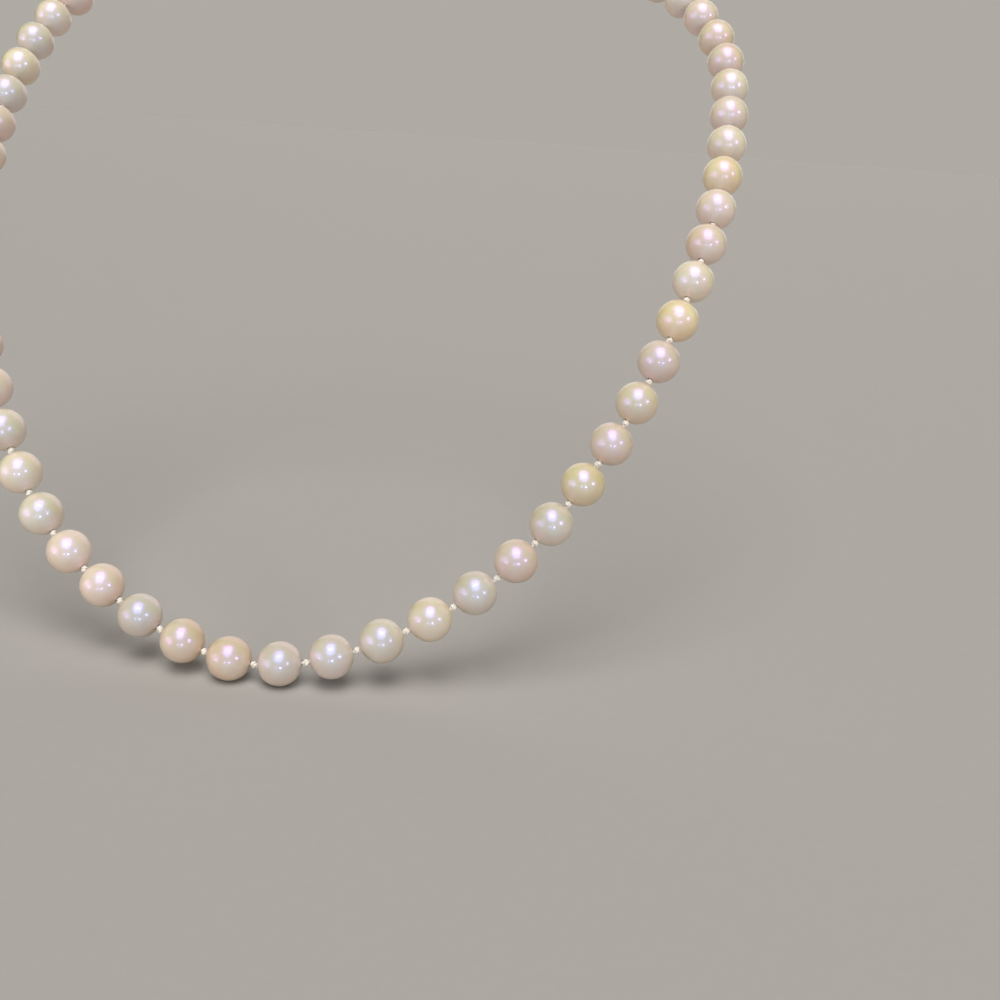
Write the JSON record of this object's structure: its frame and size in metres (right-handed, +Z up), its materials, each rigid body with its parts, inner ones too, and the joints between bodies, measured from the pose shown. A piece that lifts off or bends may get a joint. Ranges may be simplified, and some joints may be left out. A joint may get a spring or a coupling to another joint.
{
  "type": "pearl necklace",
  "caption": "Single strand of round white pearls, hand-knotted on silk, joined at the nape by a silver lobster clasp, in the shape it takes when worn.",
  "frame": {"origin": "point of the nape that the fastened clasp lies against, level with the middle of the strand", "axes": "+X to the right seen from the front, -Y towards the front of the neck, +Z up"},
  "size_m": [0.133, 0.1192, 0.1198],
  "materials": {
    "nacre_cream": "gloss",
    "nacre_rose": "gloss",
    "nacre_gold": "gloss",
    "nacre_silver": "gloss",
    "silk": "matte",
    "silver": "polished",
    "gimp_wire": "satin",
    "spring_steel": "satin"
  },
  "bodies": {
    "nape": {"back_pearls_right": "nacre_cream", "back_pearls_left": "nacre_cream", "gimp_right": "gimp_wire", "gimp_left": "gimp_wire", "silk_thread": "silk", "jump_ring": "silver", "end_ring": "silver", "clasp_body": "silver", "clasp_pin": "silver", "clasp_spring": "spring_steel"},
    "lever": {"clasp_lever": "silver"},
    "right_22": {"pearl_right_22": "nacre_gold"},
    "right_21": {"pearl_right_21": "nacre_rose"},
    "right_20": {"pearl_right_20": "nacre_cream"},
    "right_19": {"pearl_right_19": "nacre_silver"},
    "right_18": {"pearl_right_18": "nacre_gold"},
    "right_17": {"pearl_right_17": "nacre_rose"},
    "right_16": {"pearl_right_16": "nacre_cream"},
    "right_15": {"pearl_right_15": "nacre_silver"},
    "right_14": {"pearl_right_14": "nacre_gold"},
    "right_13": {"pearl_right_13": "nacre_rose"},
    "right_12": {"pearl_right_12": "nacre_cream"},
    "right_11": {"pearl_right_11": "nacre_silver"},
    "right_10": {"pearl_right_10": "nacre_gold"},
    "right_09": {"pearl_right_09": "nacre_rose"},
    "right_08": {"pearl_right_08": "nacre_cream"},
    "right_07": {"pearl_right_07": "nacre_silver"},
    "right_06": {"pearl_right_06": "nacre_gold"},
    "right_05": {"pearl_right_05": "nacre_rose"},
    "right_04": {"pearl_right_04": "nacre_cream"},
    "right_03": {"pearl_right_03": "nacre_silver"},
    "right_02": {"pearl_right_02": "nacre_gold"},
    "right_01": {"pearl_right_01": "nacre_rose"},
    "left_22": {"pearl_left_22": "nacre_cream"},
    "left_21": {"pearl_left_21": "nacre_silver"},
    "left_20": {"pearl_left_20": "nacre_gold"},
    "left_19": {"pearl_left_19": "nacre_rose"},
    "left_18": {"pearl_left_18": "nacre_cream"},
    "left_17": {"pearl_left_17": "nacre_silver"},
    "left_16": {"pearl_left_16": "nacre_gold"},
    "left_15": {"pearl_left_15": "nacre_rose"},
    "left_14": {"pearl_left_14": "nacre_cream"},
    "left_13": {"pearl_left_13": "nacre_silver"},
    "left_12": {"pearl_left_12": "nacre_gold"},
    "left_11": {"pearl_left_11": "nacre_rose"},
    "left_10": {"pearl_left_10": "nacre_cream"},
    "left_09": {"pearl_left_09": "nacre_silver"},
    "left_08": {"pearl_left_08": "nacre_gold"},
    "left_07": {"pearl_left_07": "nacre_rose"},
    "left_06": {"pearl_left_06": "nacre_cream"},
    "left_05": {"pearl_left_05": "nacre_silver"},
    "left_04": {"pearl_left_04": "nacre_gold"},
    "left_03": {"pearl_left_03": "nacre_rose"},
    "left_02": {"pearl_left_02": "nacre_cream"},
    "left_01": {"pearl_left_01": "nacre_silver"}
  },
  "joints": [
    {"name": "knot_right_22", "type": "hinge", "parent": "nape", "child": "right_22", "pos_m": [0.05621, -0.01976, -0.01295], "axis": [-1, 0, 0], "range_deg": [0, 12], "deforming": ["silk_thread"]},
    {"name": "knot_right_21", "type": "hinge", "parent": "right_22", "child": "right_21", "pos_m": [0.05959, -0.02546, -0.01662], "axis": [-1, 0, 0], "range_deg": [0, 12], "deforming": ["silk_thread"]},
    {"name": "knot_right_20", "type": "hinge", "parent": "right_21", "child": "right_20", "pos_m": [0.06199, -0.03134, -0.02073], "axis": [-1, 0, 0], "range_deg": [0, 12], "deforming": ["silk_thread"]},
    {"name": "knot_right_19", "type": "hinge", "parent": "right_20", "child": "right_19", "pos_m": [0.06312, -0.03735, -0.0252], "axis": [-1, 0, 0], "range_deg": [0, 12], "deforming": ["silk_thread"]},
    {"name": "knot_right_18", "type": "hinge", "parent": "right_19", "child": "right_18", "pos_m": [0.06337, -0.04332, -0.02986], "axis": [-1, 0, 0], "range_deg": [0, 12], "deforming": ["silk_thread"]},
    {"name": "knot_right_17", "type": "hinge", "parent": "right_18", "child": "right_17", "pos_m": [0.06317, -0.04919, -0.03465], "axis": [-1, 0, 0], "range_deg": [0, 12], "deforming": ["silk_thread"]},
    {"name": "knot_right_16", "type": "hinge", "parent": "right_17", "child": "right_16", "pos_m": [0.06281, -0.05493, -0.03959], "axis": [-1, 0, 0], "range_deg": [0, 12], "deforming": ["silk_thread"]},
    {"name": "knot_right_15", "type": "hinge", "parent": "right_16", "child": "right_15", "pos_m": [0.06211, -0.06058, -0.0446], "axis": [-1, 0, 0], "range_deg": [0, 12], "deforming": ["silk_thread"]},
    {"name": "knot_right_14", "type": "hinge", "parent": "right_15", "child": "right_14", "pos_m": [0.06102, -0.06606, -0.04972], "axis": [-1, 0, 0], "range_deg": [0, 12], "deforming": ["silk_thread"]},
    {"name": "knot_right_13", "type": "hinge", "parent": "right_14", "child": "right_13", "pos_m": [0.05954, -0.07128, -0.05501], "axis": [-1, 0, 0], "range_deg": [0, 12], "deforming": ["silk_thread"]},
    {"name": "knot_right_12", "type": "hinge", "parent": "right_13", "child": "right_12", "pos_m": [0.05769, -0.07613, -0.06053], "axis": [-1, 0, 0], "range_deg": [0, 12], "deforming": ["silk_thread"]},
    {"name": "knot_right_11", "type": "hinge", "parent": "right_12", "child": "right_11", "pos_m": [0.05551, -0.08056, -0.06627], "axis": [-1, 0, 0], "range_deg": [0, 12], "deforming": ["silk_thread"]},
    {"name": "knot_right_10", "type": "hinge", "parent": "right_11", "child": "right_10", "pos_m": [0.05297, -0.08468, -0.07211], "axis": [-1, 0, 0], "range_deg": [0, 12], "deforming": ["silk_thread"]},
    {"name": "knot_right_09", "type": "hinge", "parent": "right_10", "child": "right_09", "pos_m": [0.04997, -0.08856, -0.07788], "axis": [-1, 0, 0], "range_deg": [0, 12], "deforming": ["silk_thread"]},
    {"name": "knot_right_08", "type": "hinge", "parent": "right_09", "child": "right_08", "pos_m": [0.04646, -0.09226, -0.08349], "axis": [-1, 0, 0], "range_deg": [0, 12], "deforming": ["silk_thread"]},
    {"name": "knot_right_07", "type": "hinge", "parent": "right_08", "child": "right_07", "pos_m": [0.04268, -0.09571, -0.08908], "axis": [-1, 0, 0], "range_deg": [0, 12], "deforming": ["silk_thread"]},
    {"name": "knot_right_06", "type": "hinge", "parent": "right_07", "child": "right_06", "pos_m": [0.03844, -0.09891, -0.09448], "axis": [-1, 0, 0], "range_deg": [0, 12], "deforming": ["silk_thread"]},
    {"name": "knot_right_05", "type": "hinge", "parent": "right_06", "child": "right_05", "pos_m": [0.03348, -0.10181, -0.09942], "axis": [-1, 0, 0], "range_deg": [0, 12], "deforming": ["silk_thread"]},
    {"name": "knot_right_04", "type": "hinge", "parent": "right_05", "child": "right_04", "pos_m": [0.02766, -0.10436, -0.10355], "axis": [-1, 0, 0], "range_deg": [0, 12], "deforming": ["silk_thread"]},
    {"name": "knot_right_03", "type": "hinge", "parent": "right_04", "child": "right_03", "pos_m": [0.02134, -0.1066, -0.10706], "axis": [-1, 0, 0], "range_deg": [0, 12], "deforming": ["silk_thread"]},
    {"name": "knot_right_02", "type": "hinge", "parent": "right_03", "child": "right_02", "pos_m": [0.01461, -0.1085, -0.10998], "axis": [-1, 0, 0], "range_deg": [0, 12], "deforming": ["silk_thread"]},
    {"name": "knot_right_01", "type": "hinge", "parent": "right_02", "child": "right_01", "pos_m": [0.00748, -0.10991, -0.11212], "axis": [-1, 0, 0], "range_deg": [0, 12], "deforming": ["silk_thread"]},
    {"name": "knot_left_22", "type": "hinge", "parent": "nape", "child": "left_22", "pos_m": [-0.05621, -0.01976, -0.01295], "axis": [-1, 0, 0], "range_deg": [0, 12], "deforming": ["silk_thread"]},
    {"name": "knot_left_21", "type": "hinge", "parent": "left_22", "child": "left_21", "pos_m": [-0.05959, -0.02546, -0.01662], "axis": [-1, 0, 0], "range_deg": [0, 12], "deforming": ["silk_thread"]},
    {"name": "knot_left_20", "type": "hinge", "parent": "left_21", "child": "left_20", "pos_m": [-0.06199, -0.03134, -0.02073], "axis": [-1, 0, 0], "range_deg": [0, 12], "deforming": ["silk_thread"]},
    {"name": "knot_left_19", "type": "hinge", "parent": "left_20", "child": "left_19", "pos_m": [-0.06312, -0.03735, -0.0252], "axis": [-1, 0, 0], "range_deg": [0, 12], "deforming": ["silk_thread"]},
    {"name": "knot_left_18", "type": "hinge", "parent": "left_19", "child": "left_18", "pos_m": [-0.06337, -0.04332, -0.02986], "axis": [-1, 0, 0], "range_deg": [0, 12], "deforming": ["silk_thread"]},
    {"name": "knot_left_17", "type": "hinge", "parent": "left_18", "child": "left_17", "pos_m": [-0.06317, -0.04919, -0.03465], "axis": [-1, 0, 0], "range_deg": [0, 12], "deforming": ["silk_thread"]},
    {"name": "knot_left_16", "type": "hinge", "parent": "left_17", "child": "left_16", "pos_m": [-0.06281, -0.05493, -0.03959], "axis": [-1, 0, 0], "range_deg": [0, 12], "deforming": ["silk_thread"]},
    {"name": "knot_left_15", "type": "hinge", "parent": "left_16", "child": "left_15", "pos_m": [-0.06211, -0.06058, -0.0446], "axis": [-1, 0, 0], "range_deg": [0, 12], "deforming": ["silk_thread"]},
    {"name": "knot_left_14", "type": "hinge", "parent": "left_15", "child": "left_14", "pos_m": [-0.06102, -0.06606, -0.04972], "axis": [-1, 0, 0], "range_deg": [0, 12], "deforming": ["silk_thread"]},
    {"name": "knot_left_13", "type": "hinge", "parent": "left_14", "child": "left_13", "pos_m": [-0.05954, -0.07128, -0.05501], "axis": [-1, 0, 0], "range_deg": [0, 12], "deforming": ["silk_thread"]},
    {"name": "knot_left_12", "type": "hinge", "parent": "left_13", "child": "left_12", "pos_m": [-0.05769, -0.07613, -0.06053], "axis": [-1, 0, 0], "range_deg": [0, 12], "deforming": ["silk_thread"]},
    {"name": "knot_left_11", "type": "hinge", "parent": "left_12", "child": "left_11", "pos_m": [-0.05551, -0.08056, -0.06627], "axis": [-1, 0, 0], "range_deg": [0, 12], "deforming": ["silk_thread"]},
    {"name": "knot_left_10", "type": "hinge", "parent": "left_11", "child": "left_10", "pos_m": [-0.05297, -0.08468, -0.07211], "axis": [-1, 0, 0], "range_deg": [0, 12], "deforming": ["silk_thread"]},
    {"name": "knot_left_09", "type": "hinge", "parent": "left_10", "child": "left_09", "pos_m": [-0.04997, -0.08856, -0.07788], "axis": [-1, 0, 0], "range_deg": [0, 12], "deforming": ["silk_thread"]},
    {"name": "knot_left_08", "type": "hinge", "parent": "left_09", "child": "left_08", "pos_m": [-0.04646, -0.09226, -0.08349], "axis": [-1, 0, 0], "range_deg": [0, 12], "deforming": ["silk_thread"]},
    {"name": "knot_left_07", "type": "hinge", "parent": "left_08", "child": "left_07", "pos_m": [-0.04268, -0.09571, -0.08908], "axis": [-1, 0, 0], "range_deg": [0, 12], "deforming": ["silk_thread"]},
    {"name": "knot_left_06", "type": "hinge", "parent": "left_07", "child": "left_06", "pos_m": [-0.03844, -0.09891, -0.09448], "axis": [-1, 0, 0], "range_deg": [0, 12], "deforming": ["silk_thread"]},
    {"name": "knot_left_05", "type": "hinge", "parent": "left_06", "child": "left_05", "pos_m": [-0.03348, -0.10181, -0.09942], "axis": [-1, 0, 0], "range_deg": [0, 12], "deforming": ["silk_thread"]},
    {"name": "knot_left_04", "type": "hinge", "parent": "left_05", "child": "left_04", "pos_m": [-0.02766, -0.10436, -0.10355], "axis": [-1, 0, 0], "range_deg": [0, 12], "deforming": ["silk_thread"]},
    {"name": "knot_left_03", "type": "hinge", "parent": "left_04", "child": "left_03", "pos_m": [-0.02134, -0.1066, -0.10706], "axis": [-1, 0, 0], "range_deg": [0, 12], "deforming": ["silk_thread"]},
    {"name": "knot_left_02", "type": "hinge", "parent": "left_03", "child": "left_02", "pos_m": [-0.01461, -0.1085, -0.10998], "axis": [-1, 0, 0], "range_deg": [0, 12], "deforming": ["silk_thread"]},
    {"name": "knot_left_01", "type": "hinge", "parent": "left_02", "child": "left_01", "pos_m": [-0.00748, -0.10991, -0.11212], "axis": [-1, 0, 0], "range_deg": [0, 12], "deforming": ["silk_thread"]},
    {"name": "clasp_lever", "type": "hinge", "parent": "nape", "child": "lever", "pos_m": [0.0024, 0.00325, 0.0009], "axis": [0, -1, 0], "range_deg": [0, 18], "stiffness_Nm_per_rad": 0.0004, "springref_deg": -5.73, "deforming": ["clasp_spring"]}
  ],
  "couplings": [
    {"joint": "knot_left_22", "follows": "knot_right_22", "ratio": 1},
    {"joint": "knot_left_21", "follows": "knot_right_21", "ratio": 1},
    {"joint": "knot_left_20", "follows": "knot_right_20", "ratio": 1},
    {"joint": "knot_left_19", "follows": "knot_right_19", "ratio": 1},
    {"joint": "knot_left_18", "follows": "knot_right_18", "ratio": 1},
    {"joint": "knot_left_17", "follows": "knot_right_17", "ratio": 1},
    {"joint": "knot_left_16", "follows": "knot_right_16", "ratio": 1},
    {"joint": "knot_left_15", "follows": "knot_right_15", "ratio": 1},
    {"joint": "knot_left_14", "follows": "knot_right_14", "ratio": 1},
    {"joint": "knot_left_13", "follows": "knot_right_13", "ratio": 1},
    {"joint": "knot_left_12", "follows": "knot_right_12", "ratio": 1},
    {"joint": "knot_left_11", "follows": "knot_right_11", "ratio": 1},
    {"joint": "knot_left_10", "follows": "knot_right_10", "ratio": 1},
    {"joint": "knot_left_09", "follows": "knot_right_09", "ratio": 1},
    {"joint": "knot_left_08", "follows": "knot_right_08", "ratio": 1},
    {"joint": "knot_left_07", "follows": "knot_right_07", "ratio": 1},
    {"joint": "knot_left_06", "follows": "knot_right_06", "ratio": 1},
    {"joint": "knot_left_05", "follows": "knot_right_05", "ratio": 1},
    {"joint": "knot_left_04", "follows": "knot_right_04", "ratio": 1},
    {"joint": "knot_left_03", "follows": "knot_right_03", "ratio": 1},
    {"joint": "knot_left_02", "follows": "knot_right_02", "ratio": 1},
    {"joint": "knot_left_01", "follows": "knot_right_01", "ratio": 1}
  ]
}
